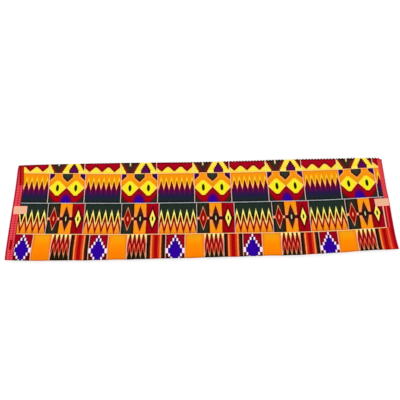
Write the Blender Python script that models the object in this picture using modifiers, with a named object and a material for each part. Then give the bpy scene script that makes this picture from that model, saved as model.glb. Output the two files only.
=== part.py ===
"""A two-yard length of printed cotton cloth, folded back and forth into a long flat packet.

The sheet is as wide as the loom made it, from selvedge to selvedge along X. It is folded across
its length into six layers, with three folds along the front and two along the back, where both
cut ends lie. A small blank label sits on each selvedge. Metres, +Z up, on the ground at z = 0.
"""

import math
from collections import namedtuple

import bmesh
import bpy
import numpy as np

MM = 0.001

# The sheet and its layers.
LAYERS = 6
SHEET_THICKNESS = 1.0 * MM
LAYER_PITCH = 1.9 * MM
SELVEDGE_TO_SELVEDGE = 1170 * MM

# Stations along the width, and places across each layer, as shares of its way from front to back.
STATIONS = 27
LAYER_PLACES = (0.0, 0.04, 0.12, 0.35, 0.65, 0.968, 0.985, 1.0)
FOLD_STEPS = 4

# How the packet's front fold and back edge wander, at sections from the left selvedge to the right.
EdgeSection = namedtuple("EdgeSection", "along front back")
EDGE_SECTIONS = (
    EdgeSection(along=-585 * MM, front=-157.0 * MM, back=149.0 * MM),
    EdgeSection(along=-530 * MM, front=-159.5 * MM, back=150.0 * MM),
    EdgeSection(along=-420 * MM, front=-162.0 * MM, back=151.0 * MM),
    EdgeSection(along=-300 * MM, front=-163.0 * MM, back=152.0 * MM),
    EdgeSection(along=-150 * MM, front=-162.0 * MM, back=151.0 * MM),
    EdgeSection(along=0, front=-161.0 * MM, back=150.0 * MM),
    EdgeSection(along=170 * MM, front=-158.5 * MM, back=151.5 * MM),
    EdgeSection(along=300 * MM, front=-156.5 * MM, back=154.0 * MM),
    EdgeSection(along=420 * MM, front=-152.0 * MM, back=154.5 * MM),
    EdgeSection(along=505 * MM, front=-148.0 * MM, back=154.5 * MM),
    EdgeSection(along=585 * MM, front=-145.5 * MM, back=153.0 * MM),
)

# Where the top layer's two selvedges run, from the front fold to the back edge.
SideSection = namedtuple("SideSection", "share left right")
SIDE_SECTIONS = (
    SideSection(share=0.0, left=-585.5 * MM, right=594.0 * MM),
    SideSection(share=0.12, left=-587.5 * MM, right=590.0 * MM),
    SideSection(share=0.45, left=-585.0 * MM, right=588.5 * MM),
    SideSection(share=0.75, left=-582.0 * MM, right=585.5 * MM),
    SideSection(share=1.0, left=-581.5 * MM, right=586.0 * MM),
)

# The sheet's turns from its bottom cut end to its top one. Each lies a little inside the edge.
Turn = namedtuple("Turn", "side inset_left inset_right")
TURNS = (
    Turn(side="back", inset_left=9.0 * MM, inset_right=5.0 * MM),
    Turn(side="front", inset_left=2.5 * MM, inset_right=1.0 * MM),
    Turn(side="back", inset_left=7.5 * MM, inset_right=2.0 * MM),
    Turn(side="front", inset_left=1.0 * MM, inset_right=3.0 * MM),
    Turn(side="back", inset_left=6.5 * MM, inset_right=3.5 * MM),
    Turn(side="front", inset_left=0.0, inset_right=0.0),
    Turn(side="back", inset_left=0.0, inset_right=0.0),
)

# How far each layer, from the bottom one up, lies to the side of the top one.
LAYER_SHIFTS = (-1.0 * MM, -2.5 * MM, -1.5 * MM, -3.0 * MM, -2.0 * MM, 0.0)

# Soft high and low places of the packet: the rise is the top layer's, the layers below share it.
Swell = namedtuple("Swell", "along across long deep rise")
SWELLS = (
    Swell(along=-330 * MM, across=20 * MM, long=150 * MM, deep=90 * MM, rise=0.9 * MM),
    Swell(along=60 * MM, across=-30 * MM, long=190 * MM, deep=80 * MM, rise=0.7 * MM),
    Swell(along=400 * MM, across=50 * MM, long=120 * MM, deep=70 * MM, rise=0.9 * MM),
    Swell(along=-480 * MM, across=-170 * MM, long=260 * MM, deep=22 * MM, rise=-2.2 * MM),
    Swell(along=560 * MM, across=-150 * MM, long=70 * MM, deep=30 * MM, rise=-0.9 * MM),
)

# The top cut end reaches past the folds below it on the left half, and droops there.
DROOP = 3.2 * MM
DROOP_DEPTH = 9 * MM
DROOP_CENTRE = -430 * MM
DROOP_REACH = 210 * MM

# The two labels, one on each selvedge.
LABEL_LENGTH = 44 * MM
LABEL_DEPTH = 25 * MM
LABEL_THICKNESS = 0.5 * MM
LABEL_INSET = 2.5 * MM
LABEL_GAP = 0.3 * MM
LEFT_LABEL_ACROSS = -0.5 * MM
RIGHT_LABEL_ACROSS = 3.5 * MM


def clear_scene():
    """Start from an empty scene."""
    for old in list(bpy.data.objects):
        bpy.data.objects.remove(old, do_unlink=True)


def smooth_value(rows, place, column, at):
    """A column's value on a smooth curve through the table's rows."""
    places = np.array([getattr(row, place) for row in rows])
    values = np.array([getattr(row, column) for row in rows])
    slopes = np.gradient(values, places)
    first = int(np.clip(np.searchsorted(places, at) - 1, 0, len(rows) - 2))
    span = places[first + 1] - places[first]
    t = (at - places[first]) / span
    start = (2 * t**3 - 3 * t**2 + 1) * values[first]
    start += (t**3 - 2 * t**2 + t) * span * slopes[first]
    end = (3 * t**2 - 2 * t**3) * values[first + 1]
    end += (t**3 - t**2) * span * slopes[first + 1]
    return start + end


def front_edge(along):
    return smooth_value(EDGE_SECTIONS, "along", "front", along)


def back_edge(along):
    return smooth_value(EDGE_SECTIONS, "along", "back", along)


def side_place(along, across):
    """The real X of a place on the top layer, between the two wandering selvedges."""
    front = front_edge(along)
    share = (across - front) / (back_edge(along) - front)
    left = smooth_value(SIDE_SECTIONS, "share", "left", share)
    right = smooth_value(SIDE_SECTIONS, "share", "right", share)
    return left + (right - left) * (along / SELVEDGE_TO_SELVEDGE + 0.5)


def layer_height(layer, along, across):
    """Height of a layer's middle surface. The bottom layer lies flat."""
    rise = 0.0
    for swell in SWELLS:
        sideways = (along - swell.along) / swell.long
        inwards = (across - swell.across) / swell.deep
        rise += swell.rise * math.exp(-(sideways**2) - inwards**2)
    height = SHEET_THICKNESS / 2 + layer * LAYER_PITCH + rise * layer / (LAYERS - 1)
    if layer == LAYERS - 1:
        past = (across - back_edge(along) + DROOP_DEPTH) / DROOP_DEPTH
        if past > 0:
            height -= DROOP * past**2 * math.exp(-(((along - DROOP_CENTRE) / DROOP_REACH) ** 2))
    return height


def turn_place(turn, along):
    """Where the sheet's middle surface turns, or ends, at this section."""
    share = along / SELVEDGE_TO_SELVEDGE + 0.5
    inset = turn.inset_left + (turn.inset_right - turn.inset_left) * share
    if turn.side == "front":
        return front_edge(along) + inset + SHEET_THICKNESS / 2
    return back_edge(along) - inset


def fold_radius(layer, along, across):
    """Half the way up from a layer to the next one."""
    return (layer_height(layer + 1, along, across) - layer_height(layer, along, across)) / 2


def fold_points(layer, along):
    """The half round from a layer up to the next one: place, height and facing of its printed side."""
    turn = TURNS[layer + 1]
    outwards = -1 if turn.side == "front" else 1
    edge = turn_place(turn, along)
    radius = fold_radius(layer, along, edge)
    centre_across = edge - outwards * radius
    centre_height = layer_height(layer, along, edge) + radius
    points = []
    for step in range(1, FOLD_STEPS):
        angle = math.pi * (step / FOLD_STEPS - 0.5)
        facing = (outwards * math.cos(angle), math.sin(angle))
        across = centre_across + radius * facing[0]
        height = centre_height + radius * facing[1]
        points.append((across, height, -outwards * facing[0], -outwards * facing[1]))
    return points


def run_end(layer, turn_index, along):
    """Where a layer's flat run ends: at a cut end, or at the start of a fold's half round."""
    turn = TURNS[turn_index]
    edge = turn_place(turn, along)
    if turn_index in (0, LAYERS):
        return edge
    lower = min(layer, turn_index - 1)
    radius = fold_radius(lower, along, edge)
    return edge + radius if turn.side == "front" else edge - radius


def section_points(along):
    """One section of the sheet, on one side of it, from its bottom cut end to its top one."""
    points = []
    for layer in range(LAYERS):
        front_first = layer % 2 == 1
        first = run_end(layer, layer, along)
        last = run_end(layer, layer + 1, along)
        front, back = (first, last) if front_first else (last, first)
        places = LAYER_PLACES if front_first else tuple(reversed(LAYER_PLACES))
        facing = 1 if front_first else -1
        for share in places:
            across = front + (back - front) * share
            points.append((across, layer_height(layer, along, across), 0, facing, layer))
        if layer < LAYERS - 1:
            steps = fold_points(layer, along)
            for number, step in enumerate(steps, start=1):
                points.append((*step, layer + number / FOLD_STEPS))
    return points


def sheet_rows():
    """The folded sheet's one side as rows of points, a row for each station along the width."""
    rows = []
    for along in np.linspace(-SELVEDGE_TO_SELVEDGE / 2, SELVEDGE_TO_SELVEDGE / 2, STATIONS):
        row = []
        for across, height, facing_across, facing_up, level in section_points(along):
            shift = np.interp(level, range(LAYERS), LAYER_SHIFTS)
            x = side_place(along, across) + shift
            y = across + facing_across * SHEET_THICKNESS / 2
            z = height + facing_up * SHEET_THICKNESS / 2
            row.append((x, y, z))
        rows.append(row)
    return np.array(rows)


def packet_centre(rows):
    """The middle of the packet's outline, which the model's origin lies under."""
    low = rows.min(axis=(0, 1))
    high = rows.max(axis=(0, 1))
    return (low + high) / 2 * np.array([1, 1, 0])


def make_material(name, colour, roughness):
    material = bpy.data.materials.new(name)
    material.use_nodes = True
    shader = material.node_tree.nodes["Principled BSDF"]
    shader.inputs["Base Color"].default_value = (*colour, 1)
    shader.inputs["Roughness"].default_value = roughness
    shader.inputs["Metallic"].default_value = 0
    return material


def add_cloth(collection, rows, centre):
    """Loft the sheet through its sections and give it its thickness."""
    mesh = bpy.data.meshes.new("folded_cloth")
    model = bmesh.new()
    lines = [[model.verts.new(point - centre) for point in row] for row in rows]
    for line, following in zip(lines, lines[1:]):
        for place in range(len(line) - 1):
            corners = (line[place], following[place], following[place + 1], line[place + 1])
            model.faces.new(corners)
    model.to_mesh(mesh)
    model.free()
    mesh.shade_smooth()
    cloth = bpy.data.objects.new("folded_cloth", mesh)
    collection.objects.link(cloth)
    cloth.data.materials.append(make_material("printed_cotton", (0.62, 0.20, 0.03), 0.85))

    thickness = cloth.modifiers.new("sheet thickness", "SOLIDIFY")
    thickness.thickness = SHEET_THICKNESS
    thickness.offset = -1
    thickness.use_even_offset = True
    thickness.use_rim = True
    return cloth


def add_label(collection, name, along, across, centre, material):
    """A thin paper label, just clear of the top layer and at its slope."""
    half_length = LABEL_LENGTH / 2
    half_depth = LABEL_DEPTH / 2
    top = LAYERS - 1
    rise_along = layer_height(top, along + half_length, across)
    rise_along -= layer_height(top, along - half_length, across)
    rise_across = layer_height(top, along, across + half_depth)
    rise_across -= layer_height(top, along, across - half_depth)
    height = layer_height(top, along, across) + SHEET_THICKNESS / 2 + LABEL_GAP + LABEL_THICKNESS / 2

    mesh = bpy.data.meshes.new(name)
    model = bmesh.new()
    bmesh.ops.create_cube(model, size=1)
    bmesh.ops.scale(model, vec=(LABEL_LENGTH, LABEL_DEPTH, LABEL_THICKNESS), verts=model.verts)
    model.to_mesh(mesh)
    model.free()
    label = bpy.data.objects.new(name, mesh)
    label.location = (along - centre[0], across - centre[1], height)
    label.rotation_euler = (
        math.atan2(rise_across, LABEL_DEPTH),
        -math.atan2(rise_along, LABEL_LENGTH),
        0,
    )
    label.data.materials.append(material)
    collection.objects.link(label)
    return label


def build():
    clear_scene()
    collection = bpy.data.collections.new("Folded ankara cloth")
    bpy.context.scene.collection.children.link(collection)

    rows = sheet_rows()
    centre = packet_centre(rows)
    add_cloth(collection, rows, centre)

    paper = make_material("label_paper", (0.87, 0.43, 0.31), 0.6)
    half_width = SELVEDGE_TO_SELVEDGE / 2
    reach = LABEL_INSET + LABEL_LENGTH / 2
    left = side_place(-half_width, LEFT_LABEL_ACROSS) + reach
    right = side_place(half_width, RIGHT_LABEL_ACROSS) - reach
    add_label(collection, "label_left", left, LEFT_LABEL_ACROSS, centre, paper)
    add_label(collection, "label_right", right, RIGHT_LABEL_ACROSS, centre, paper)


build()
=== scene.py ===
import math

import bpy
import numpy as np
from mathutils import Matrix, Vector


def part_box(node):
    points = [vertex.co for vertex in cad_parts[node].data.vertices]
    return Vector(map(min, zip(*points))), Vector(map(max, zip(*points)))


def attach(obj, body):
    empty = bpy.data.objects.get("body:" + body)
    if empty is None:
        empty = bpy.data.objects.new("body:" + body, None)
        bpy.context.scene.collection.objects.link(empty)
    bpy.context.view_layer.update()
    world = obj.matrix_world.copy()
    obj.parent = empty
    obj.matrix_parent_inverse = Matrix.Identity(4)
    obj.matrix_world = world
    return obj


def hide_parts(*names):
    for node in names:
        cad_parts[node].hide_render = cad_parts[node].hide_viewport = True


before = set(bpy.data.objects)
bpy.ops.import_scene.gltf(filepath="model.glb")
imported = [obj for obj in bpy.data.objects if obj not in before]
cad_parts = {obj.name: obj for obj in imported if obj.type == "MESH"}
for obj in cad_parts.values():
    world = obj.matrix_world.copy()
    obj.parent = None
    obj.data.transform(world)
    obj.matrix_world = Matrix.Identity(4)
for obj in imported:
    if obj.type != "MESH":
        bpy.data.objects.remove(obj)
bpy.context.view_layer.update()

print("frame loaded:", ", ".join(sorted(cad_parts)))


# Small helpers

def tint(red, green, blue, strength=1.0):
    # a colour as it looks on screen, 0 to 255, made linear for a shader
    channels = []
    for value in (red, green, blue):
        share = value / 255
        channels.append(share / 12.92 if share <= 0.04045 else ((share + 0.055) / 1.055) ** 2.4)
    return (*channels, strength)


def smoothCurve(places, values, at):
    # a smooth curve through a short table's column
    places = np.asarray(places, float)
    values = np.asarray(values, float)
    slopes = np.gradient(values, places)
    first = np.clip(np.searchsorted(places, at) - 1, 0, len(places) - 2)
    span = places[first + 1] - places[first]
    t = (at - places[first]) / span
    start = (2 * t**3 - 3 * t**2 + 1) * values[first] + (t**3 - 2 * t**2 + t) * span * slopes[first]
    end = (3 * t**2 - 2 * t**3) * values[first + 1] + (t**3 - t**2) * span * slopes[first + 1]
    return start + end


# The folded cloth: one sheet, folded back and forth, on the same lines as its solid

sheet = {
    "layers": 6,
    "thickness": 0.0005,
    "pitch": 0.0019,  # from one layer up to the next
    "width": 1.17,
    "toothPitch": 0.00975,  # pinked cut ends
    "toothDepth": 0.0034,
    "toothFade": (-0.15, 0.1),  # the teeth are worn left of the first place and full right of the next
    "toothWorn": 0.15,
    "cornerCut": 0.005,
    "cornerStart": 0.573,
    "foldSteps": 8,
    "middle": (0.00165, -0.00419),  # the outline's middle, which the origin lies under
    "droop": 0.0032,
    "droopDepth": 0.009,
    "droopCentre": -0.43,
    "droopReach": 0.21,
    "edgeRipple": 0.0004,
    "edgeRipplePitch": 0.083,
    "edgeRippleReach": 0.03,
    "foldWander": 0.0005,
    "foldWaves": ((0.6, 41.0, 0.0), (0.4, 97.0, 1.3)),  # each wave's share, pace and start
    "creaseFade": 5,
    "sharpEdge": 50,  # in degrees
}

# how the front fold and the back edge wander from the left selvedge to the right one, in mm
outline = {
    "along": [-585, -530, -420, -300, -150, 0, 170, 300, 420, 505, 585],
    "front": [-155.5, -157.6, -159.4, -160.4, -159.7, -158.9, -157.2, -156, -150.7, -146.3, -143.9],
    "back": [150, 151.5, 152.5, 152.5, 151, 150, 151.5, 153.5, 153.5, 154, 153],
}

# the two selvedges from front to back, in mm
selvedges = {
    "share": [0, 0.12, 0.45, 0.75, 1],
    "left": [-589.3, -589.2, -586.6, -583.9, -584],
    "right": [593, 589.3, 587.6, 585.3, 585.7],
}

# the sheet's turns from its bottom cut end to its top one, and how far inside the edge each lies at the left
# and at the right, in mm
turns = [
    ("back", 9.0, 5.0),
    ("front", 2.5, 1.0),
    ("back", 7.5, 2.0),
    ("front", 1.0, 3.0),
    ("back", 6.5, 3.5),
    ("front", 0.0, 0.0),
    ("back", 0.0, 0.0),
]

layerShifts = [-1.0, -2.5, -1.5, -3.0, -2.0, 0.0]  # sideways, bottom layer first, in mm

# soft high and low places, in mm: along, across, how long, how deep, and how far the top layer rises there;
# the layers below have a share of it
swells = [
    (-330, 20, 150, 90, 0.9),
    (60, -30, 190, 80, 0.7),
    (400, 50, 120, 70, 0.9),
    (-480, -170, 260, 22, -2.2),
    (560, -150, 70, 30, -0.9),
]

# faint creases left by handling, in mm: a line from one place to another, its width and its rise
creases = [
    ((-455, 150), (-430, -40), 7, 0.22),
    ((-238, 40), (-205, -160), 9, -0.25),
    ((-60, 150), (-20, 10), 8, 0.22),
    ((118, -20), (150, -158), 8, 0.25),
    ((285, 154), (262, -30), 10, -0.25),
    ((470, 60), (520, -140), 9, 0.3),
]


def frontEdge(along):
    wander = sum(share * np.sin(along * pace + start) for share, pace, start in sheet["foldWaves"])
    front = smoothCurve(outline["along"], outline["front"], along * 1000) / 1000
    return front + sheet["foldWander"] * wander


def backEdge(along):
    return smoothCurve(outline["along"], outline["back"], along * 1000) / 1000


def sidePlace(along, across):
    front = frontEdge(along)
    share = np.clip((across - front) / (backEdge(along) - front), -0.02, 1.02)
    left = smoothCurve(selvedges["share"], selvedges["left"], share) / 1000
    right = smoothCurve(selvedges["share"], selvedges["right"], share) / 1000
    return left + (right - left) * (along / sheet["width"] + 0.5)


def creaseRise(along, across):
    rise = np.zeros_like(across)
    for start, end, wide, high in creases:
        startX, startY = (value / 1000 for value in start)
        endX, endY = (value / 1000 for value in end)
        runX, runY = endX - startX, endY - startY
        length = math.hypot(runX, runY)
        way = ((along - startX) * runX + (across - startY) * runY) / length**2
        aside = ((along - startX) * runY - (across - startY) * runX) / length
        fade = np.clip(way * sheet["creaseFade"], 0, 1) * np.clip((1 - way) * sheet["creaseFade"], 0, 1)
        rise += high / 1000 * np.exp(-((aside / (wide / 1000)) ** 2)) * fade
    return rise


def layerHeight(layer, along, across):
    # the middle of the sheet's thickness; the bottom layer lies flat
    rise = np.zeros_like(across)
    for placeX, placeY, long, deep, high in swells:
        sideways = (along * 1000 - placeX) / long
        inwards = (across * 1000 - placeY) / deep
        rise += high / 1000 * np.exp(-(sideways**2) - inwards**2)
    edgeGap = sheet["width"] / 2 - np.abs(along)
    ripple = np.sin(across * 2 * math.pi / sheet["edgeRipplePitch"] + np.sign(along))
    rise += sheet["edgeRipple"] * ripple * np.exp(-edgeGap / sheet["edgeRippleReach"])
    rise += creaseRise(along, across)
    top = sheet["layers"] - 1
    height = sheet["thickness"] / 2 + layer * sheet["pitch"] + rise * layer / top
    if layer == top:
        past = np.clip((across - backEdge(along)) / sheet["droopDepth"] + 1, 0, None)
        reach = (along - sheet["droopCentre"]) / sheet["droopReach"]
        height = height - sheet["droop"] * past**2 * np.exp(-(reach**2))
    return height


def turnAt(number, along):
    # where the sheet turns, its fold's radius, and the way the fold points; a cut end has no fold
    side, left, right = turns[number]
    inset = (left + (right - left) * (along / sheet["width"] + 0.5)) / 1000
    if side == "front":
        edge = frontEdge(along) + inset + sheet["thickness"] / 2
    else:
        edge = backEdge(along) - inset
    radius = 0.0
    if 0 < number < sheet["layers"]:
        radius = (layerHeight(number, along, edge) - layerHeight(number - 1, along, edge)) / 2
    elif number:  # the top cut end's right corner is a little snipped
        start = sheet["cornerStart"]
        past = (along - start) / (sheet["width"] / 2 - start)
        edge = edge - sheet["cornerCut"] * np.clip(past, 0, 1)
    return edge, radius, -1 if side == "front" else 1


def clothColumns(along):
    # every place along the sheet, from its bottom cut end to its top one, for all stations at once
    layers = sheet["layers"]
    plainPlaces = [0, 0.012, 0.03, 0.07, 0.15, 0.3, 0.5, 0.7, 0.85, 0.93, 0.97, 0.988, 1]
    topPlaces = [0, 0.008, 0.018, 0.03, 0.045, 0.065, 0.09, 0.12]
    topPlaces += list(np.linspace(0.15, 0.93, 32))
    topPlaces += [0.945, 0.957, 0.967, 0.975, 0.98, 0.9865, 1]
    columns = []
    for layer in range(layers):
        ends = []
        for number in (layer, layer + 1):
            edge, radius, outwards = turnAt(number, along)
            ends.append(edge - outwards * radius)
        forward = layer % 2 == 1  # odd layers run from the front to the back
        front, back = ends if forward else ends[::-1]
        places = topPlaces if layer == layers - 1 else plainPlaces
        for share in places if forward else places[::-1]:
            across = front + (back - front) * share
            height = layerHeight(layer, along, across)
            columns.append((across, height, 0.0, 1.0 if forward else -1.0, float(layer)))
        if layer < layers - 1:
            middle = layerHeight(layer, along, edge) + radius
            for step in range(1, sheet["foldSteps"]):
                share = step / sheet["foldSteps"]
                angle = math.pi * (share - 0.5)
                across = edge - outwards * radius * (1 - math.cos(angle))
                height = middle + radius * math.sin(angle)
                facing = (-math.cos(angle), -outwards * math.sin(angle))
                columns.append((across, height, *facing, layer + share))
    return columns


def pinkedEnd(across, along):
    # every second station steps back, which cuts the end into pointed teeth
    teeth = np.arange(len(along)) % 2
    start, full = sheet["toothFade"]
    depth = sheet["toothDepth"] * np.clip((along - start) / (full - start), sheet["toothWorn"], 1)
    return across + depth * (0.5 - teeth)


def printStray(along, across):
    # the print's drift at every place, straight between the rows and smooth along them
    places = np.array(printDrift["across"]) / 1000
    drifts = []
    for kind in ("aside", "beyond"):
        rows = printDrift[kind]
        lines = np.array([smoothCurve(printDrift["along"], row, along * 1000) for row in rows]) / 1000
        drift = [np.interp(across[:, station], places, lines[:, station]) for station in range(len(along))]
        drifts.append(np.stack(drift, axis=1))
    return drifts


def pairs(first, second):
    # two tables of one shape as a list of map places
    return np.stack(np.broadcast_arrays(first, second), axis=-1).reshape(-1, 2)


def addMap(mesh, name, values):
    layer = mesh.uv_layers.new(name=name, do_init=False)
    layer.uv.foreach_set("vector", values.astype(np.float32).ravel())


# the bake's own map, in shares of its square
bakeSizes = {
    "folds": 0.8,  # how much room a metre of a fold gets, when a metre of the top layer gets 1
    "underside": 0.25,
    "hidden": 0.03,
    "room": 0.93,  # for the two sides together
    "sideMargin": 0.006,
    "faceStart": 0.004,
    "backStart": 0.014,
    "rimStart": 0.962,
    "rimPitch": 0.009,
    "rimHeight": 0.006,
    "rimMargin": 0.01,
}


def bakePlaces(along, level, run):
    # the top layer gets most of the map, and what lies inside the folds very little
    sizes = bakeSizes
    onTop = level >= sheet["layers"] - 1.5
    onFold = level % 1 != 0
    backShare = np.where(onFold, sizes["folds"], sizes["hidden"])
    faceShare = np.where(onTop, 1.0, np.where(level == 0, sizes["underside"], backShare))
    bands = []
    for share in (faceShare, backShare):
        bands.append(np.concatenate([[0], np.cumsum(np.diff(run) * (share[1:] + share[:-1]) / 2)]))
    room = sizes["room"] / (bands[0][-1] + bands[1][-1])
    u = sizes["sideMargin"] + (1 - 2 * sizes["sideMargin"]) * (along / sheet["width"] + 0.5)
    face = sizes["faceStart"] + bands[0] * room
    back = sizes["backStart"] + (bands[0][-1] + bands[1]) * room
    return np.vstack([pairs(u, v[:, None]) for v in (face, back)])


def rimPlaces(rims):
    # each rim's faces lie side by side in a strip of its own
    strips = []
    for number, rim in enumerate(rims):
        low = bakeSizes["rimStart"] + bakeSizes["rimPitch"] * number
        high = low + bakeSizes["rimHeight"]
        share = np.linspace(bakeSizes["rimMargin"], 1 - bakeSizes["rimMargin"], len(rim) + 1)
        ring = np.zeros((len(rim), 4, 2))
        ring[:, :, 0] = np.stack([share[:-1], share[1:], share[1:], share[:-1]], axis=-1)
        ring[:, :, 1] = [low, low, high, high]
        strips.append((ring[:, ::-1] if number in (0, 3) else ring).reshape(-1, 2))
    return np.vstack(strips)


def makeCloth():
    half = sheet["width"] / 2
    count = 2 * round(sheet["width"] / sheet["toothPitch"]) + 1
    along = np.linspace(-half, half, count)
    columns = clothColumns(along)
    across, height = (
        np.array([np.broadcast_to(column[part], count) for column in columns]) for part in (0, 1)
    )
    facingAcross, facingUp, level = (np.array([column[part] for column in columns]) for part in (2, 3, 4))
    for end in (0, -1):
        across[end] = pinkedEnd(across[end], along)

    shift = np.interp(level, range(sheet["layers"]), layerShifts)[:, None] / 1000
    plainX = np.array([sidePlace(along, row) for row in across])
    middleX, middleY = sheet["middle"]
    sides = []
    for way in (1, -1):  # the printed face, then the reverse
        out = way * sheet["thickness"] / 2
        x = plainX + shift - middleX
        y = across + out * facingAcross[:, None] - middleY
        z = height + out * facingUp[:, None]
        sides.append(np.stack([x, y, z], axis=-1).reshape(-1, 3))

    # maps: where each point lies on the print, on the sheet and from the sheet's ends, in metres
    steps = np.hypot(np.diff(across, axis=0), np.diff(height, axis=0))
    run = np.vstack([np.zeros(count), np.cumsum(steps, axis=0)])
    topStart = int(np.flatnonzero(level == sheet["layers"] - 1)[0])
    length = run - run[topStart]
    frontY = across[topStart] - middleY
    plainY = frontY + length
    bowAcross = (plainX - middleX) / printSizes["bowReach"]
    bow = (printSizes["bow"] - printSizes["bowFade"] * np.clip(plainY, frontY, None)) * bowAcross**2
    aside, beyond = printStray(along, plainY)
    maps = {
        "printMap": pairs(plainX - middleX - aside, plainY - bow - beyond),
        "threadMap": pairs(along, length),
        "endMap": pairs(along, np.minimum(run, run[-1] - run)),
    }

    # faces of the two sides, then the four thin rims
    rows, stations = across.shape

    def corner(side, place, station):
        return (side * rows + place) * stations + station

    place, station = np.meshgrid(range(rows - 1), range(stations - 1), indexing="ij")
    quads = []
    for side in (0, 1):
        ring = [corner(side, place + deep, station + wide) for deep, wide in ((0, 0), (0, 1), (1, 1), (1, 0))]
        quads.append(np.stack(ring[::-1] if side else ring, axis=-1).reshape(-1, 4))
    allStations = np.arange(stations - 1)
    allPlaces = np.arange(rows - 1)
    rims = []
    for start, end, flip in (
        ((0, allStations), (0, allStations + 1), True),
        ((rows - 1, allStations), (rows - 1, allStations + 1), False),
        ((allPlaces, 0), (allPlaces + 1, 0), False),
        ((allPlaces, stations - 1), (allPlaces + 1, stations - 1), True),
    ):
        ring = [corner(0, *start), corner(0, *end), corner(1, *end), corner(1, *start)]
        rims.append(np.stack(ring[::-1] if flip else ring, axis=-1))
    faces = np.vstack(quads + rims)

    mesh = bpy.data.meshes.new("foldedCloth")
    mesh.from_pydata(np.vstack(sides).tolist(), [], faces.tolist())
    kinds = np.zeros(len(faces), np.int32)
    kinds[len(quads[0]):2 * len(quads[0])] = 1
    mesh.polygons.foreach_set("material_index", kinds)
    mesh.shade_smooth()
    mesh.set_sharp_from_angle(angle=math.radians(sheet["sharpEdge"]))
    loops = faces.ravel()
    for name, values in maps.items():
        addMap(mesh, name, values[loops % (rows * stations)])
    bakeMap = bakePlaces(along, level, run.mean(axis=1))[loops]
    bakeMap[8 * len(quads[0]):] = rimPlaces(rims)
    addMap(mesh, "OFBake", bakeMap)

    cloth = bpy.data.objects.new("foldedCloth", mesh)
    bpy.context.scene.collection.objects.link(cloth)
    print("cloth:", len(faces), "faces, sheet length", round(float(run[-1].mean()), 3), "m")
    return cloth


# The print: rows of blocks in the manner of woven strips

printSizes = {
    "rowHeight": 0.1003,
    "firstLine": -0.185,  # the front of the frontmost row, which lies round the fold
    # each row's first place and the width of its blocks, from the front row to the back one
    "rows": ((-0.5112, 0.05745), (-0.4776, 0.1153), (-0.482, 0.115), (-0.488, 0.1156)),
    "bow": 0.0109,  # how far the rows' ends bend towards the back
    "bowFade": 0.0284,
    "bowReach": 0.565,
    "lineWidth": 0.0024,
    "lineSoft": 0.0009,
    "inkWander": 0.0007,
    "wanderScale": 160,
    "heavyInk": (0.0046, 0.0026),  # how far beside a pale line the ink lies heavier, and how softly it ends
    "heavyInkShare": 0.9,
    "heavyInkDepth": 1.35,
}

# how far the printed rows stray sideways and towards the back from an even grid, in mm, at each place across
printDrift = {
    "along": [-585, -420, -240, -60, 120, 240, 390, 585],
    "across": [-157, -125, -85, -35, 15, 66, 116],
    "aside": [
        [-5.6, -5.6, -5.2, -2.0, 1.6, 3.6, 5.6, 10.5],
        [-5.3, -5.5, -5.2, -2.0, 1.5, 3.4, 4.5, 5.2],
        [-2.2, -2.6, -3.4, -1.0, 2.1, 3.8, 3.5, 3.4],
        [1.2, 0.4, -1.5, 0.0, 2.5, 4.2, 2.4, 2.4],
        [1.2, 0.4, -1.2, 0.0, 1.8, 3.4, 1.8, 1.6],
        [2.0, 0.2, -1.1, 0.2, 1.3, 3.2, 1.1, 0.9],
        [0.8, 0.2, -1.3, -0.8, 0.2, 0.9, -0.6, -0.4],
    ],
    "beyond": [
        [0.6, 1.9, 3.0, 3.2, 2.2, -0.3, -2.6, -0.9],
        [0.6, 1.9, 3.0, 3.2, 2.2, -0.3, -2.6, -0.9],
        [0.3, 1.7, 2.9, 3.3, 2.1, -0.4, -2.4, -0.6],
        [-0.5, 1.2, 2.0, 2.1, 0.8, -0.8, -2.8, -0.9],
        [-0.3, 1.5, 1.8, 2.0, 0.5, -0.4, -2.1, -0.4],
        [2.6, 3.2, 2.7, 2.8, 1.5, 0.6, -0.5, 0.8],
        [3.6, 2.2, 0.5, 1.1, 0.2, 0.1, -0.6, 1.0],
    ],
}

# the pale lines between the blocks: place, red, green, blue and strength, from the front row to the back one
sideLines = [
    (0.0, 250, 206, 178, 0.7), (0.25, 232, 200, 184, 0.66), (0.5, 248, 210, 188, 0.72),
    (0.75, 255, 212, 190, 0.72),
]
rowLines = [
    (0.0, 255, 226, 150, 0.85), (0.25, 255, 206, 146, 0.84), (0.5, 208, 210, 218, 0.64),
    (0.75, 255, 206, 134, 0.8),
]


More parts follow.
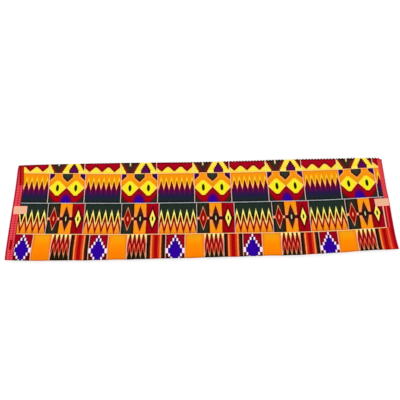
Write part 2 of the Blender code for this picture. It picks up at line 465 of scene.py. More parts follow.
class Pen:
    # draws with nodes as a printer works: a ground, then one shape over another; colours run from 0 to 255

    def __init__(self, tree):
        self.tree = tree
        self.colour = (0, 0, 0)

    def give(self, socket, value):
        if isinstance(value, bpy.types.NodeSocket):
            self.tree.links.new(value, socket)
        else:
            socket.default_value = tint(*value) if isinstance(value, tuple) else value

    def node(self, kind, inputs=(), **settings):
        made = self.tree.nodes.new("ShaderNode" + kind)
        for name, value in settings.items():
            setattr(made, name, value)
        for name, value in dict(inputs).items():
            self.give(made.inputs[name], value)
        return made

    def maths(self, operation, *values, clamp=False):
        return self.node("Math", enumerate(values), operation=operation, use_clamp=clamp).outputs[0]

    def scaled(self, value, times, plus=0.0):
        return self.maths("MULTIPLY_ADD", value, times, plus)

    def minus(self, value, less):
        return self.maths("SUBTRACT", value, less)

    def below(self, value, limit, soft=0.008):
        # 1 where value is less than limit, with a soft edge
        return self.maths("MULTIPLY_ADD", self.minus(limit, value), 1 / soft, 0.5, clamp=True)

    def above(self, value, limit, soft=0.008):
        return self.below(limit, value, soft)

    def both(self, first, second):
        return self.maths("MULTIPLY", first, second)

    def away(self, value, centre):
        return self.maths("ABSOLUTE", self.minus(value, centre))

    def peaks(self, first, pitch):
        # a pointed wave across the block, 1 at each peak and 0 between
        turnsDone = self.scaled(self.across, 1 / pitch, -first / pitch)
        return self.scaled(self.maths("PINGPONG", turnsDone, 0.5), -2.0, 1.0)

    def rise(self, wave, low, high):
        return self.scaled(wave, high - low, low)

    def diamond(self, aside, beside, halfWide, halfHigh):
        # how far out of a diamond a place lies: 1 on its outline
        return self.scaled(beside, 1 / halfHigh, self.scaled(aside, 1 / halfWide))

    def oval(self, aside, beside, halfWide, halfHigh):
        wide = self.maths("POWER", self.scaled(aside, 1 / halfWide), 2.0)
        high = self.maths("POWER", self.scaled(beside, 1 / halfHigh), 2.0)
        return self.maths("ADD", wide, high)

    def shade(self, value, stops, mode="LINEAR"):
        # each stop is its place, its red, green and blue, and its strength where that is less than 1
        made = self.node("ValToRGB", {0: value})
        made.color_ramp.interpolation = mode
        ramp = made.color_ramp.elements
        while len(ramp) < len(stops):
            ramp.new(0.5)
        for element, (place, *colour) in zip(ramp, stops):
            element.position = place
            element.color = tint(*colour)
        return made.outputs[0]

    def mixed(self, mask, under, over):
        return self.node("Mix", {"Factor": mask, 6: under, 7: over}, data_type="RGBA").outputs[2]

    def deeper(self, colour, depth):
        # dark inks get darker and bright ones hardly change
        return self.node("Gamma", {"Color": colour, "Gamma": depth}).outputs[0]

    def ground(self, colour):
        self.colour = colour

    def paint(self, mask, colour):
        self.colour = self.mixed(mask, self.colour, colour)

    def fill(self, value, limit, soft, colour):
        self.paint(self.below(value, limit, soft), colour)

    def fillDiamond(self, aside, beside, halfWide, halfHigh, soft, colour):
        self.fill(self.diamond(aside, beside, halfWide, halfHigh), 1.0, soft, colour)

    def fillOval(self, aside, beside, halfWide, halfHigh, soft, colour):
        self.fill(self.oval(aside, beside, halfWide, halfHigh), 1.0, soft, colour)

    def zigzags(self, wave, layers):
        # pointed shapes, each over the last, with their lowest and highest places and their shades
        for low, high, stops in layers:
            self.fill(self.up, self.rise(wave, low, high), 0.02, self.shade(self.up, stops))

    def split(self, vector):
        return self.node("SeparateXYZ", {0: vector}).outputs

    def noise(self, place, scale, detail, flat="2D"):
        inputs = {"Vector": place, "Scale": scale, "Detail": detail}
        return self.node("TexNoise", inputs, noise_dimensions=flat).outputs

    def finish(self, shader, colour, grain, height, looks):
        # the shader's inputs: grain varies the roughness, and height is the bump's
        strength, distance = looks["bump"]
        bump = self.node("Bump", {"Height": height, "Strength": strength, "Distance": distance})
        self.give(shader["Base Color"], colour)
        self.give(shader["Roughness"], self.scaled(grain, *looks["roughness"]))
        self.give(shader["Normal"], bump.outputs[0])
        self.give(shader["Specular IOR Level"], looks["specular"])


def newGroup(name, inputs, outputs):
    tree = bpy.data.node_groups.new(name, "ShaderNodeTree")
    for way, sockets in (("INPUT", inputs), ("OUTPUT", outputs)):
        for socket, kind in sockets.items():
            tree.interface.new_socket(socket, in_out=way, socket_type="NodeSocket" + kind)
    return Pen(tree), tree.nodes.new("NodeGroupInput").outputs, tree.nodes.new("NodeGroupOutput").inputs


def newMaterial(name):
    material = bpy.data.materials.new(name)
    material.use_nodes = True
    return material, material.node_tree.nodes["Principled BSDF"].inputs, Pen(material.node_tree)


def blockGroup(draw):
    # one printed block as a group: its place across and up goes in, its colour comes out
    pen, inputs, outputs = newGroup(draw.__name__, {"Across": "Float", "Up": "Float"}, {"Color": "Color"})
    pen.across = inputs["Across"]
    pen.up = inputs["Up"]
    draw(pen)
    pen.give(outputs["Color"], pen.colour)
    return pen.tree


def softPeaks(pen):
    # low rounded yellow hills along the edges of a crimson block
    up = pen.maths("PINGPONG", pen.up, 0.5)
    wave = pen.peaks(-0.031, 0.349)
    hill = pen.maths("SMOOTH_MIN", pen.rise(wave, 0.047, 0.247), 0.217, 0.05)
    pen.ground(pen.shade(up, [(0.1, 170, 0, 20), (0.3, 166, 4, 30), (0.4, 150, 0, 30)]))
    pen.fill(up, pen.scaled(hill, 1.0, 0.06), 0.07, (112, 4, 0))
    pen.fill(up, hill, 0.014, (255, 208, 90))
    pen.fill(up, pen.minus(hill, 0.055), 0.06, (246, 226, 62))
    pen.fill(up, pen.minus(hill, 0.105), 0.08, (240, 238, 48))
    pen.fill(up, 0.05, 0.06, (252, 216, 84))


def steppedHills(pen):
    # a dark stepped bowl and a purple stepped hill, with a yellow stepped path between
    up = pen.maths("PINGPONG", pen.up, 0.5)
    step = pen.maths("MAXIMUM", pen.maths("SNAP", pen.scaled(up, 1.0, -0.02), 0.0635), 0.0)
    bowl = pen.away(pen.across, 0.277)
    hill = pen.away(pen.across, 0.704)
    heart = pen.below(pen.away(pen.across, 0.03), pen.scaled(step, -0.3, 0.066), 0.04)
    path = pen.shade(up, [(0.04, 255, 234, 112), (0.12, 252, 220, 44), (0.27, 255, 228, 80)])
    pen.ground(pen.mixed(heart, path, (240, 230, 72)))
    wall = pen.scaled(step, 0.455, 0.123)
    inside = pen.shade(pen.minus(wall, bowl), [
        (0.0, 114, 22, 2), (0.045, 114, 24, 22), (0.085, 94, 26, 28), (0.12, 64, 32, 28),
        (0.16, 48, 44, 30),
    ])
    pen.fill(bowl, wall, 0.01, inside)
    pen.paint(pen.both(pen.below(bowl, 0.018), pen.above(up, 0.262, 0.03)), (244, 200, 158))
    rightEdge = pen.above(pen.across, pen.scaled(step, -0.5, 1.0), 0.01)
    pen.paint(pen.both(rightEdge, pen.above(up, 0.1, 0.02)), (112, 12, 4))
    slope = pen.maths("MINIMUM", pen.scaled(step, -0.5, 0.166), 0.131)
    pen.fill(hill, slope, 0.01, (60, 2, 8))
    purple = pen.shade(up, [(0.12, 92, 6, 82), (0.26, 84, 6, 50)])
    pen.fill(hill, pen.scaled(slope, 1.0, -0.036), 0.04, purple)


def flamePeaks(pen):
    # orange over a row of pointed flames, which sink from maroon through purple to dark green
    wave = pen.peaks(0.094, 0.1418)
    flame = pen.maths("ADD", pen.up, pen.scaled(wave, -0.07, 0.035))
    depths = [
        (0.0, 14, 22, 20), (0.07, 30, 40, 40), (0.15, 30, 34, 52), (0.22, 36, 26, 68),
        (0.29, 54, 20, 68), (0.36, 76, 6, 66), (0.41, 86, 2, 52), (0.47, 102, 4, 16), (0.54, 104, 2, 0),
        (0.68, 112, 16, 0),
    ]
    edges = [
        (0.43, 255, 160, 156), (0.5, 255, 178, 138), (0.58, 255, 196, 92), (0.66, 250, 174, 40),
        (0.76, 255, 204, 48),
    ]
    streak = pen.both(pen.below(wave, pen.scaled(pen.up, 2.2, -0.62), 0.12), pen.below(flame, 0.43, 0.03))
    oranges = [(0.66, 228, 150, 8), (0.78, 240, 148, 4), (0.92, 246, 146, 10), (0.97, 228, 152, 18)]
    pen.ground(pen.shade(pen.up, oranges))
    pen.fill(pen.up, pen.rise(wave, 0.545, 0.88), 0.03, pen.shade(pen.up, edges))
    pen.fill(pen.up, pen.rise(wave, 0.412, 0.756), 0.02, pen.shade(flame, depths))
    pen.paint(pen.scaled(streak, 0.45), (150, 30, 96))


def eyeDiamonds(pen):
    # two yellow diamonds with dark ovals, between an orange field and a crimson one
    middle = pen.away(pen.across, 0.495)
    eye = pen.away(middle, 0.253)
    side = pen.scaled(middle, -1.0, 0.5)
    high = pen.away(pen.up, 0.496)
    crimson = [(0.04, 146, 0, 18), (0.14, 168, 0, 14), (0.28, 154, 8, 24), (0.42, 150, 4, 26)]
    pen.ground(pen.shade(pen.up, [(0.58, 234, 148, 2), (0.72, 240, 146, 2), (0.88, 246, 148, 12)]))
    pen.fill(pen.up, 0.5, 0.008, pen.shade(pen.up, crimson))

    # the dark shield at the top and the violet corners, each with a dark rim and a peach line round it
    shieldSide = pen.away(pen.across, 0.502)
    shield = pen.minus(pen.up, pen.scaled(shieldSide, 1.18, 0.698))
    corner = pen.minus(pen.up, pen.scaled(side, 1.1, 0.738))
    for aside, wide, soft, point, low, pointSoft, colour in (
        (shieldSide, 0.167, 0.01, shield, -0.0384, 0.015, (252, 168, 88)),
        (side, 0.17, 0.01, corner, -0.0384, 0.015, (252, 166, 100)),
        (shieldSide, 0.143, 0.01, shield, 0.0, 0.015, (56, 22, 0)),
        (side, 0.146, 0.01, corner, 0.0, 0.015, (58, 0, 28)),
        (shieldSide, 0.112, 0.05, shield, 0.085, 0.08, (46, 54, 44)),
        (side, 0.096, 0.06, corner, 0.095, 0.1, (60, 4, 112)),
    ):
        pen.paint(pen.both(pen.below(aside, wide, soft), pen.above(point, low, pointSoft)), colour)

    # the violet mound and the dark corners in the crimson
    mound = pen.oval(middle, pen.up, 0.145, 0.272)
    pen.fill(mound, 1.3, 0.7, pen.shade(mound, [(0.0, 44, 0, 158), (0.55, 52, 0, 140), (1.0, 104, 0, 74)]))
    dark = pen.scaled(side, 1 / 0.185, pen.scaled(pen.up, 1 / 0.285))
    pen.fill(dark, 1.15, 0.3, (84, 6, 16))
    pen.fill(dark, 0.9, 0.3, (40, 42, 38))

    # the eyes: a dark red rim below, an amber line, bright yellow, and a dark oval
    rim = pen.below(pen.diamond(eye, high, 0.285, 0.345), 1.0, 0.09)
    rim = pen.both(rim, pen.below(high, 0.3, 0.03))
    pen.paint(pen.both(rim, pen.below(pen.up, 0.48, 0.02)), (116, 0, 0))
    amber = pen.shade(high, [(0.02, 255, 212, 104), (0.16, 254, 210, 44), (0.25, 255, 208, 70)])
    for wide, tall, soft, top, topSoft, colour in (
        (0.245, 0.3, 0.05, 0.25, 0.01, amber),
        (0.204, 0.266, 0.12, 0.222, 0.02, (248, 230, 24)),
    ):
        shape = pen.below(pen.diamond(eye, high, wide, tall), 1.0, soft)
        pen.paint(pen.both(shape, pen.below(high, top, topSoft)), colour)
    oval = pen.oval(eye, high, 0.043, 0.116)
    pen.fill(oval, 2.8, 1.8, (238, 238, 44))
    pen.fill(oval, 1.0, 0.5, (38, 34, 0))


def tallPeaks(pen):
    # steep zigzags: a cream line and a dark red one between dark green and orange
    greens = [(0.46, 14, 0, 0), (0.56, 26, 18, 0), (0.67, 38, 48, 14), (0.8, 32, 46, 38)]
    creams = [
        (0.2, 240, 104, 56), (0.28, 255, 170, 96), (0.37, 255, 222, 130), (0.46, 255, 208, 104),
        (0.56, 255, 228, 104), (0.65, 255, 250, 144), (0.76, 220, 214, 140),
    ]
    reds = [(0.06, 168, 30, 0), (0.16, 142, 0, 0), (0.4, 124, 14, 0), (0.56, 94, 4, 0)]
    oranges = [(0.05, 230, 140, 30), (0.16, 246, 148, 24), (0.26, 255, 154, 70), (0.36, 255, 150, 90)]
    pen.ground(pen.shade(pen.up, greens))
    wave = pen.peaks(0.061, 0.1692)
    pen.zigzags(wave, ((0.342, 0.8, creams), (0.188, 0.645, reds), (-0.02, 0.412, oranges)))


def threeDiamonds(pen):
    # three upright panels, each with a tall diamond, joined by small links
    high = pen.away(pen.up, 0.497)
    orange = [(0.06, 255, 170, 106), (0.15, 248, 146, 66), (0.26, 244, 148, 30), (0.38, 246, 150, 14)]
    greens = [(0.02, 26, 22, 16), (0.1, 42, 46, 34), (0.24, 42, 44, 32), (0.32, 58, 16, 0)]
    pen.ground(pen.shade(pen.across, greens))
    pen.paint(pen.above(pen.across, 0.342), pen.shade(high, orange))
    crimson = pen.shade(pen.across, [(0.674, 132, 6, 0), (0.74, 156, 2, 18), (0.95, 160, 0, 24)])
    pen.paint(pen.above(pen.across, 0.661), crimson)

    first = pen.away(pen.across, 0.171)
    second = pen.away(pen.across, 0.503)
    third = pen.away(pen.across, 0.829)
    pen.paint(pen.both(pen.below(high, 0.056, 0.02), pen.above(pen.across, 0.334)), (80, 0, 22))
    for centre, half in ((0.024, 0.044), (0.297, 0.026)):
        near = pen.below(pen.away(pen.across, centre), half, 0.02)
        pen.paint(pen.both(pen.below(high, 0.038, 0.02), near), (255, 180, 130))

    rim = pen.below(pen.diamond(first, high, 0.132, 0.46), 1.0, 0.12)
    pen.paint(pen.both(rim, pen.above(high, 0.045, 0.02)), (36, 6, 0))
    outline = pen.shade(high, [(0.04, 232, 104, 60), (0.15, 222, 104, 84), (0.34, 226, 160, 120)])
    pen.fillDiamond(first, high, 0.112, 0.395, 0.05, outline)
    pen.fillDiamond(first, high, 0.092, 0.335, 0.06, (128, 0, 0))
    pen.fillDiamond(first, high, 0.066, 0.23, 0.25, (156, 10, 2))
    pen.fillOval(first, high, 0.016, 0.07, 0.6, (255, 156, 130))

    halo = pen.below(pen.diamond(second, high, 0.15, 0.48), 1.0, 0.3)
    pen.paint(pen.scaled(pen.both(halo, pen.above(high, 0.056)), 0.12), (128, 40, 0))
    tips = pen.shade(high, [(0.1, 72, 14, 12), (0.24, 84, 6, 4), (0.34, 112, 0, 0)])
    pen.fillDiamond(second, high, 0.112, 0.42, 0.06, tips)
    heart = pen.shade(high, [(0.08, 30, 22, 6), (0.18, 54, 34, 30)])
    pen.fillDiamond(second, high, 0.08, 0.29, 0.25, heart)
    pen.fillOval(second, high, 0.018, 0.074, 0.7, (206, 202, 154))

    rhombus = pen.shade(high, [(0.0, 54, 14, 0), (0.12, 76, 4, 0), (0.36, 112, 0, 10)])
    pen.fillDiamond(third, high, 0.142, 0.43, 0.26, rhombus)
    pen.fillDiamond(third, high, 0.079, 0.282, 0.1, (255, 232, 122))
    pen.fillDiamond(third, high, 0.058, 0.205, 0.1, (248, 234, 74))
    pen.fillOval(third, high, 0.023, 0.078, 0.5, (38, 30, 0))


def dashedDiamond(pen):
    # a violet diamond with stepped sides, edged with white dashes, on crimson
    middle = pen.away(pen.across, 0.497)
    high = pen.away(pen.up, 0.492)
    level = pen.scaled(high, 1 / 0.104, 0.279)
    steps = pen.maths("MAXIMUM", pen.maths("FLOOR", level), 0.0)
    widest = pen.below(steps, 0.5, 0.1)
    dashPlace = pen.scaled(widest, 0.02, pen.scaled(steps, -0.101, 0.404))
    dashHalf = pen.scaled(widest, 0.018, 0.042)
    inner = pen.minus(dashPlace, dashHalf)
    outer = pen.maths("ADD", dashPlace, dashHalf)
    crimson = [(0.32, 96, 0, 18), (0.44, 112, 0, 20), (0.56, 134, 0, 24), (0.8, 150, 2, 26)]
    pen.ground(pen.shade(pen.up, crimson))
    pen.fill(middle, pen.scaled(outer, 1.0, 0.05), 0.06, (100, 0, 12))
    pen.fill(middle, pen.scaled(inner, 1.0, 0.03), 0.016, (20, 0, 80))
    pen.fill(middle, pen.scaled(inner, 1.0, -0.05), 0.06, (46, 0, 154))
    white = pen.below(pen.away(middle, dashPlace), dashHalf, 0.016)
    within = pen.maths("MAXIMUM", pen.below(pen.away(pen.maths("FRACT", level), 0.5), 0.43, 0.1), widest)
    white = pen.both(pen.both(white, within), pen.below(steps, 4.5, 0.1))
    pen.paint(white, (255, 232, 254))


def plainOrange(pen):
    oranges = [
        (0.32, 246, 126, 0), (0.48, 254, 132, 0), (0.66, 252, 140, 0), (0.8, 250, 154, 4),
        (0.96, 236, 160, 20),
    ]
    pen.ground(pen.shade(pen.up, oranges))
    pen.paint(pen.above(pen.away(pen.across, 0.5), 0.38, 0.2), (238, 138, 14))


def shortPeaks(pen):
    # zigzags one above the other: cream, dark red, coral with pale feet, and brown-black
    creams = [
        (0.66, 244, 84, 74), (0.74, 255, 124, 106), (0.84, 255, 172, 130), (0.9, 255, 214, 124),
        (0.97, 255, 240, 156),
    ]
    reds = [(0.5, 158, 20, 6), (0.62, 146, 0, 0), (0.8, 128, 6, 0), (0.93, 100, 26, 0), (0.99, 92, 44, 0)]
    corals = [
        (0.3, 150, 124, 92), (0.38, 206, 150, 108), (0.43, 214, 116, 80), (0.5, 196, 74, 50),
        (0.58, 222, 88, 62), (0.65, 252, 118, 92), (0.72, 240, 84, 70),
    ]
    darks = [(0.32, 34, 18, 0), (0.42, 54, 8, 0), (0.5, 92, 20, 0), (0.58, 140, 50, 20)]
    pen.ground(pen.shade(pen.up, creams))
    wave = pen.peaks(0.149, 0.2305)
    pen.zigzags(wave, ((0.665, 1.215, reds), (0.4, 0.76, corals), (0.245, 0.635, darks)))


def warmStripes(pen):
    # dark, amber, orange-red and red stripes that run with the cloth's length
    stripes = [
        (0.0, 24, 18, 10), (0.08, 38, 14, 12), (0.15, 70, 18, 0), (0.208, 92, 28, 0),
        (0.24, 255, 152, 78), (0.275, 255, 142, 78), (0.315, 206, 62, 14), (0.375, 196, 46, 14),
        (0.43, 168, 2, 2), (0.5, 166, 0, 14), (0.575, 168, 4, 0), (0.61, 206, 50, 22),
        (0.685, 208, 66, 18), (0.722, 255, 150, 82), (0.76, 255, 144, 78), (0.79, 92, 34, 0),
        (0.87, 56, 22, 8), (0.93, 32, 16, 14),
    ]
    pen.ground(pen.shade(pen.across, stripes))


def printGroup():
    # the whole print: rows of blocks, the lines between them, and the two selvedges
    sockets = {"Print Place": "Vector", "Thread Place": "Vector"}
    pen, inputs, outputs = newGroup("stripPrint", sockets, {"Color": "Color"})
    sizes = printSizes

    # ink edges wander a little
    noise = pen.noise(inputs["Print Place"], sizes["wanderScale"], 1)
    noiseParts = pen.node("SeparateColor", {0: noise["Color"]}).outputs
    plain = pen.split(inputs["Print Place"])
    wander = sizes["inkWander"]
    x, y = (
        pen.maths("ADD", plain[part], pen.scaled(noiseParts[part], 2 * wander, -wander)) for part in (0, 1)
    )
    rows = pen.scaled(y, 1 / sizes["rowHeight"], -sizes["firstLine"] / sizes["rowHeight"])
    up = pen.maths("FRACT", rows)
    number = pen.maths("FLOORED_MODULO", pen.maths("FLOOR", rows), 4.0)

    layout = (
        (plainOrange, shortPeaks, warmStripes, dashedDiamond),
        (threeDiamonds, tallPeaks),
        (eyeDiamonds, flamePeaks),
        (steppedHills, softPeaks),
    )
    gap = 0.0
    for index, (draws, (start, width)) in enumerate(zip(layout, sizes["rows"])):
        # the row's blocks by turns, and how far each place lies from a block's side
        count = pen.scaled(x, 1 / width, -start / width)
        across = pen.maths("FRACT", count)
        turn = pen.maths("FLOORED_MODULO", pen.maths("FLOOR", count), len(draws))
        row = Pen(pen.tree)
        for place, draw in enumerate(draws):
            block = pen.node("Group", {"Across": across, "Up": up}, node_tree=blockGroup(draw))
            row.paint(pen.maths("COMPARE", turn, place, 0.5), block.outputs[0])
        here = pen.maths("COMPARE", number, index, 0.5)
        pen.paint(here, row.colour)
        rowGap = pen.scaled(pen.maths("PINGPONG", across, 0.5), width)
        gap = pen.maths("ADD", gap, pen.both(here, pen.minus(rowGap, gap)))

    # the pale lines round every block, each in its own row's colour
    lineGap = pen.scaled(pen.maths("PINGPONG", up, 0.5), sizes["rowHeight"])
    nearest = pen.maths("FLOORED_MODULO", pen.maths("ROUND", rows), 4.0)
    heavy = pen.below(pen.maths("MINIMUM", gap, lineGap), *sizes["heavyInk"])
    pen.paint(pen.scaled(heavy, sizes["heavyInkShare"]), pen.deeper(pen.colour, sizes["heavyInkDepth"]))
    for row, lines, distance in ((number, sideLines, gap), (nearest, rowLines, lineGap)):
        line = pen.shade(pen.scaled(row, 0.25, 0.125), lines, mode="CONSTANT")
        mask = pen.below(distance, sizes["lineWidth"] / 2, sizes["lineSoft"])
        pen.paint(pen.both(mask, line.node.outputs["Alpha"]), line)

    addSelvedges(pen, inputs["Thread Place"], y)
    pen.give(outputs["Color"], pen.colour)
    return pen.tree


selvedgeSizes = {
    "leftWidth": 0.0235,
    "rightWidths": (0.0148, 0.0246, 0.0206),  # back, middle and front
    "leftTick": 0.0053,
    "rightTick": 0.0041,
    "rightSlant": -0.9,
    "plainFrom": 0.008,  # the right band has no ticks in front of this place
    "soft": 0.0014,
    "cloudScale": 420,
    "patches": (1.6, 0.15),  # how unevenly the ticks are inked
    "tickEdge": (0.25, 0.12),
    "pinch": (0.09, -0.0075),  # the left band is narrower towards the back
    "deepBack": (0.0735, 0.004),
    "deepFront": (0.016, 0.004),
    "deepFrontMiddle": -0.12,
}


def addSelvedges(pen, threadPlace, y):
    # red bands with plain ticks, where the cloth was held while it was woven and printed
    sizes = selvedgeSizes
    soft = sizes["soft"]
    aside, run, _ = pen.split(threadPlace)
    half = sheet["width"] / 2
    fromLeft = pen.scaled(aside, 1.0, half)
    fromRight = pen.scaled(aside, -1.0, half)
    patchy = pen.scaled(pen.noise(threadPlace, sizes["cloudScale"], 1)[0], *sizes["patches"])

    def band(fromEdge, nearest, furthest):
        return pen.both(pen.above(fromEdge, nearest, soft), pen.below(fromEdge, furthest, soft))

    def ticks(fromEdge, slant, pitch):
        way = pen.scaled(fromEdge, slant, run)
        wave = pen.maths("PINGPONG", pen.scaled(way, 1 / pitch), 0.5)
        return pen.both(pen.below(wave, *sizes["tickEdge"]), patchy)

    # left: a ladder of ticks on light red, with a dark strip at the back and a dark patch in front
    inner = pen.maths("ADD", fromLeft, pen.maths("MAXIMUM", pen.scaled(y, *sizes["pinch"]), 0.0))
    deepBack = pen.above(y, *sizes["deepBack"])
    deepFront = pen.below(pen.away(y, sizes["deepFrontMiddle"]), *sizes["deepFront"])
    left = Pen(pen.tree)
    left.ground((252, 90, 98))
    left.paint(band(inner, 0.0112, 0.0158), (226, 52, 62))
    left.paint(pen.both(ticks(inner, 0.0, sizes["leftTick"]), band(inner, 0.0035, 0.0205)), (184, 26, 50))
    left.paint(pen.both(deepBack, band(inner, 0.0092, 0.0158)), (148, 0, 8))
    left.paint(pen.both(deepBack, band(inner, 0.0158, 0.024)), (196, 30, 16))
    left.paint(pen.both(deepFront, band(inner, 0.0078, 0.0162)), (160, 0, 4))
    # painted shade: a dark line along the outer edge, where the edge of the stack lies in shadow
    left.fill(fromLeft, 0.004, 0.0026, (130, 6, 34))
    left.fill(fromLeft, 0.0012, 0.001, (214, 24, 74))
    left.paint(pen.above(inner, sizes["leftWidth"] - 0.0026, soft), (128, 2, 8))
    pen.fill(inner, sizes["leftWidth"], soft, left.colour)

    # right: slanting ticks at the back, then plain crimson with a light stripe, redder still in front
    right = Pen(pen.tree)
    right.ground((246, 84, 88))
    right.paint(ticks(fromRight, sizes["rightSlant"], sizes["rightTick"]), (178, 18, 42))
    # painted shade: a darker line along the outer edge
    right.fill(fromRight, 0.0028, 0.0026, (160, 40, 54))
    crimson = [(0.0, 132, 10, 32), (0.25, 160, 2, 18), (0.42, 184, 8, 14), (0.6, 204, 34, 26)]
    front = Pen(pen.tree)
    front.ground(pen.shade(pen.scaled(fromRight, 1 / 0.024), crimson))
    middle = Pen(pen.tree)
    middle.ground(front.colour)
    middle.fill(pen.away(fromRight, 0.0135), 0.0017, soft, (238, 70, 72))
    middle.paint(pen.above(fromRight, 0.0154, soft), (140, 6, 8))
    middle.fill(pen.away(fromRight, 0.0224), 0.0016, soft, (255, 186, 166))
    front.fill(pen.away(fromRight, 0.0186), 0.0017, soft, (246, 92, 64))
    plain = pen.below(y, sizes["plainFrom"], 0.003)
    frontmost = pen.below(y, printSizes["firstLine"] + printSizes["rowHeight"], 0.002)
    right.paint(plain, pen.mixed(frontmost, middle.colour, front.colour))
    right.fill(fromRight, 0.0013, 0.001, (210, 44, 76))
    atBack, atMiddle, atFront = sizes["rightWidths"]
    width = pen.scaled(frontmost, atFront - atMiddle, pen.scaled(plain, atMiddle - atBack, atBack))
    pen.fill(fromRight, width, soft, right.colour)


# The weave and the cloth's two materials

weaveLooks = {
    "threadPitch": 0.0005,
    "slubStretches": ((60, 900, 1), (900, 60, 1)),
    "broadScale": 34,
    "broadShare": 0.45,
    "slubShare": 0.275,
    "crossingShare": 0.35,
}
clothLooks = {
    "paintedEndShade": (0.0052, 0.0036),  # how far the painted shade along the cut ends reaches, and how softly it ends
    "paintedEndShadeDepth": 1.65,
    "darkInk": (0.22, 0.2),  # inks with less green than this count as dark
    "foldMiddle": -0.001,  # the front fold's edge, from the front of the top layer
    "foldShade": (0.003, 0.002),  # how far either way the painted shade reaches
    "foldShadeShare": 0.36,
    "fade": 0.16,
    "brightness": (0.22, 0.89),  # from the uneven weave, and at least
    "roughness": (0.2, 0.62),
    "bump": (0.25, 0.0002),
    "specular": 0.02,
}


def weaveGroup():
    # plain weave: threads over and under, a little uneven
    looks = weaveLooks
    sockets = {"Thread Place": "Vector", "Thread Pitch": "Float"}
    pen, inputs, outputs = newGroup("plainWeave", sockets, {"Height": "Float", "Cloud": "Float"})
    threadPlace = inputs["Thread Place"]
    parts = pen.split(threadPlace)
    warp, weft = (
        pen.maths("PINGPONG", pen.maths("DIVIDE", parts[way], inputs["Thread Pitch"]), 1.0) for way in (0, 1)
    )
    crossing = pen.away(pen.maths("ADD", warp, weft), 1.0)
    slubs = []
    for stretch in looks["slubStretches"]:
        mapping = pen.node("Mapping", {"Vector": threadPlace})
        mapping.inputs["Scale"].default_value = stretch
        slubs.append(pen.noise(mapping.outputs[0], 1, 2)[0])
    slub = pen.maths("ADD", *slubs)
    broad = pen.noise(threadPlace, looks["broadScale"], 3)[0]
    pen.give(outputs["Height"], pen.scaled(crossing, looks["crossingShare"], pen.scaled(slub, 0.5)))
    pen.give(outputs["Cloud"], pen.scaled(broad, looks["broadShare"], pen.scaled(slub, looks["slubShare"])))
    return pen.tree


def clothMaterial(name, printTree, weaveTree, faded):
    # printed cotton: the reverse is the same print, a little paler
    looks = clothLooks
    material, shader, pen = newMaterial(name)
    printMap, threadMap, endMap = (
        pen.node("UVMap", uv_map=kind).outputs[0] for kind in ("printMap", "threadMap", "endMap")
    )
    pattern = pen.node("Group", {"Print Place": printMap, "Thread Place": threadMap}, node_tree=printTree)
    places = {"Thread Place": threadMap, "Thread Pitch": weaveLooks["threadPitch"]}
    weave = pen.node("Group", places, node_tree=weaveTree)
    pen.ground(pattern.outputs["Color"])

    # painted shade along both cut ends, where the edge bends away and lies in its own shade; only the dark
    # inks are deepened
    endShadeMask = pen.below(pen.split(endMap)[1], *looks["paintedEndShade"])
    green = pen.node("SeparateColor", {0: pen.colour}).outputs[1]
    darkInk = pen.below(green, *looks["darkInk"])
    pen.paint(pen.both(endShadeMask, darkInk), pen.deeper(pen.colour, looks["paintedEndShadeDepth"]))
    # painted shade along the front fold's edge, where the cloth rounds over and turns away from the light
    foldShadeMask = pen.below(pen.away(pen.split(threadMap)[1], looks["foldMiddle"]), *looks["foldShade"])
    pen.paint(pen.scaled(foldShadeMask, looks["foldShadeShare"]), (40, 8, 0))
    if faded:
        pen.paint(looks["fade"], (226, 196, 176))
    cloud = weave.outputs["Cloud"]
    value = pen.scaled(cloud, *looks["brightness"])
    shading = pen.node("HueSaturation", {"Color": pen.colour, "Value": value})
    pen.finish(shader, shading.outputs[0], cloud, weave.outputs["Height"], looks)
    return material


cloth = makeCloth()
printTree = printGroup()
weaveTree = weaveGroup()
for name, faded in (("clothFace", False), ("clothReverse", True)):
    cloth.data.materials.append(clothMaterial(name, printTree, weaveTree, faded))
print("print drawn")


# The two blank labels

labelSizes = {
    "thickness": 0.00022,
    "lift": 0.00012,
    "corner": 0.0012,
    "cornerSteps": 4,
    "strips": 12,
    "curl": 0.0007,
    "curlStart": 0.35,
    "sharpEdge": 40,  # in degrees
}
labelPlaces = {
    "labelLeft": {"node": "label_left", "length": 0.042, "depth": 0.025, "shift": -0.0012, "turn": 0.0},
    "labelRight": {"node": "label_right", "length": 0.044, "depth": 0.0238, "shift": 0.0, "turn": 1.5},
}


def topSurface(x, y):
    # the top of the upper layer at a place in the frame
    middleX, middleY = sheet["middle"]
    along = np.array([x + middleX])
    across = np.array([y + middleY])
    top = layerHeight(sheet["layers"] - 1, along, across)
    return float(top[0]) + sheet["thickness"] / 2


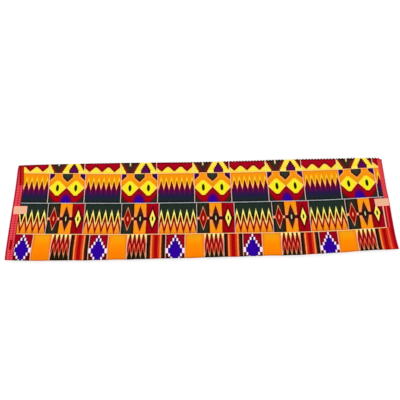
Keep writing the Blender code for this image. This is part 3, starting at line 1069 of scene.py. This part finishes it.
def makeLabel(name, place):
    low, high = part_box(place["node"])
    centreX, centreY = (low.x + high.x) / 2 + place["shift"], (low.y + high.y) / 2
    length, depth = place["length"], place["depth"]
    bpy.ops.mesh.primitive_plane_add(size=1)
    label = bpy.context.object
    label.name = name
    label.data.name = name
    label.scale = (length, depth, 1)
    bpy.ops.object.transform_apply(scale=True)
    bpy.ops.object.mode_set(mode="EDIT")
    bpy.ops.mesh.select_all(action="SELECT")
    bpy.ops.mesh.bevel(offset=labelSizes["corner"], segments=labelSizes["cornerSteps"], affect="VERTICES")
    for cut in range(1, labelSizes["strips"]):  # even strips both ways, cut straight across
        share = cut / labelSizes["strips"] - 0.5
        for point, normal in (((length * share, 0, 0), (1, 0, 0)), ((0, depth * share, 0), (0, 1, 0))):
            bpy.ops.mesh.select_all(action="SELECT")
            bpy.ops.mesh.bisect(plane_co=point, plane_no=normal)
    bpy.ops.object.mode_set(mode="OBJECT")
    outward = -1 if centreX < 0 else 1
    labelMap = label.data.uv_layers.new(name="labelMap")
    for loop in label.data.loops:
        spot = label.data.vertices[loop.vertex_index].co
        labelMap.data[loop.index].uv = (spot.x / length * outward, spot.y / depth)
    curls = []
    for vertex in label.data.vertices:
        outerFront = vertex.co.x / length * outward - vertex.co.y / depth
        curls.append(labelSizes["curl"] * max(0.0, outerFront - labelSizes["curlStart"]) ** 2)
    label.rotation_euler.z = math.radians(place["turn"])
    label.location = (centreX, centreY, 0)
    bpy.ops.object.transform_apply(location=True, rotation=True, scale=True)
    for vertex, curl in zip(label.data.vertices, curls):
        vertex.co.z = topSurface(vertex.co.x, vertex.co.y) + labelSizes["lift"] + curl
    thick = label.modifiers.new("paper", "SOLIDIFY")
    thick.thickness = labelSizes["thickness"]
    thick.offset = 1
    bpy.ops.object.modifier_apply(modifier=thick.name)
    bpy.ops.object.shade_smooth_by_angle(angle=math.radians(labelSizes["sharpEdge"]))
    return label


paperLooks = {
    "fibreScale": 20,
    "blotchScale": 4,
    "blotchShare": 0.4,
    "fibreShare": 0.2,
    "roughness": (0.2, 0.5),  # from the fibres, and at least
    "bump": (0.2, 0.0001),
    "specular": 0.2,
    "longEdge": (0.41, 0.14),  # where the margins start, in shares of the label, and how softly
    "deepEdge": (0.38, 0.16),
    # where the painted shade at the outer end starts, in shares of the label, and how softly
    "outerEndShade": (0.465, 0.04),
    "blotch": (0.52, 0.2),
}


def paperMaterial():
    # thin tan paper, pinker round its margins, with painted shade at its outer end where the paper bends down
    looks = paperLooks
    material, shader, pen = newMaterial("labelPaper")
    place = pen.node("UVMap", uv_map="labelMap").outputs[0]
    outwards, deep, _ = pen.split(place)
    fibres = pen.noise(place, looks["fibreScale"], 4, "3D")[0]
    blotches = pen.noise(place, looks["blotchScale"], 2, "3D")[0]
    longways = pen.above(pen.maths("ABSOLUTE", outwards), *looks["longEdge"])
    deepways = pen.above(pen.maths("ABSOLUTE", deep), *looks["deepEdge"])
    pen.ground((228, 176, 132))
    pen.paint(pen.maths("MAXIMUM", longways, deepways), (255, 172, 152))
    pen.paint(pen.scaled(pen.above(blotches, *looks["blotch"]), looks["blotchShare"]), (250, 176, 142))
    # painted shade at the outer end, where the paper bends down
    pen.paint(pen.above(outwards, *looks["outerEndShade"]), (206, 152, 130))
    pen.paint(pen.scaled(fibres, looks["fibreShare"]), (250, 206, 178))
    pen.finish(shader, pen.colour, fibres, fibres, looks)
    return material


paper = paperMaterial()
labels = []
for labelName, labelPlace in labelPlaces.items():
    label = makeLabel(labelName, labelPlace)
    label.data.materials.append(paper)
    labels.append(label)
print("labels laid on")


# What rides on what

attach(cloth, "root")
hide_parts("folded_cloth")
for label in labels:
    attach(label, "root")
    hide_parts(labelPlaces[label.name]["node"])


# Floor, light and camera

studio = {
    "floor": 12.0,
    "floorLooks": {
        "Base Color": (0.42, 0.42, 0.42, 1.0),
        "Roughness": 0.9,
        "Specular IOR Level": 0.1,
        "Emission Color": (1, 1, 1, 1),
        "Emission Strength": 0.62,  # white from below, as on a light table, so that shadows stay faint
    },
    "sky": 0.96,
    "keyPower": 9.0,
    "keySize": 2.4,
    "keyPlace": (-1.1, 1.3, 2.2),
}

camera = {
    "focus": 397.0,  # in pixels of the 400-pixel frame
    "frame": 400.0,
    "elevation": 72.549,
    "azimuth": -1.086,
    "distance": 1.2407,
    "target": (-0.005, 0.0258, 0.01),
}


def makeStudio():
    bpy.ops.mesh.primitive_plane_add(size=studio["floor"], location=(0, 0, 0))
    floor = bpy.context.object
    floor.name = "floor"
    paint, shader, _ = newMaterial("floorPaint")
    for name, value in studio["floorLooks"].items():
        shader[name].default_value = value
    floor.data.materials.append(paint)

    world = bpy.data.worlds.new("studio")
    world.use_nodes = True
    sky = world.node_tree.nodes["Background"]
    sky.inputs["Color"].default_value = (1, 1, 1, 1)
    sky.inputs["Strength"].default_value = studio["sky"]
    bpy.context.scene.world = world

    key = bpy.data.lights.new("key", "AREA")
    key.energy = studio["keyPower"]
    key.size = studio["keySize"]
    keyObject = bpy.data.objects.new("key", key)
    keyObject.location = studio["keyPlace"]
    keyObject.rotation_euler = (-Vector(studio["keyPlace"])).to_track_quat("-Z", "Y").to_euler()
    bpy.context.scene.collection.objects.link(keyObject)
    bpy.context.scene.view_settings.view_transform = "Standard"


def makeCamera():
    view = bpy.data.cameras.new("camera")
    view.sensor_width = 36
    view.lens = camera["focus"] / camera["frame"] * view.sensor_width
    holder = bpy.data.objects.new("camera", view)
    elevation = math.radians(camera["elevation"])
    azimuth = math.radians(camera["azimuth"])
    look = Vector((
        -math.sin(azimuth) * math.cos(elevation),
        math.cos(azimuth) * math.cos(elevation),
        -math.sin(elevation),
    ))
    holder.rotation_euler = look.to_track_quat("-Z", "Y").to_euler()
    holder.location = Vector(camera["target"]) - look * camera["distance"]
    bpy.context.scene.collection.objects.link(holder)
    bpy.context.scene.camera = holder


makeStudio()
makeCamera()
print("studio and camera set")
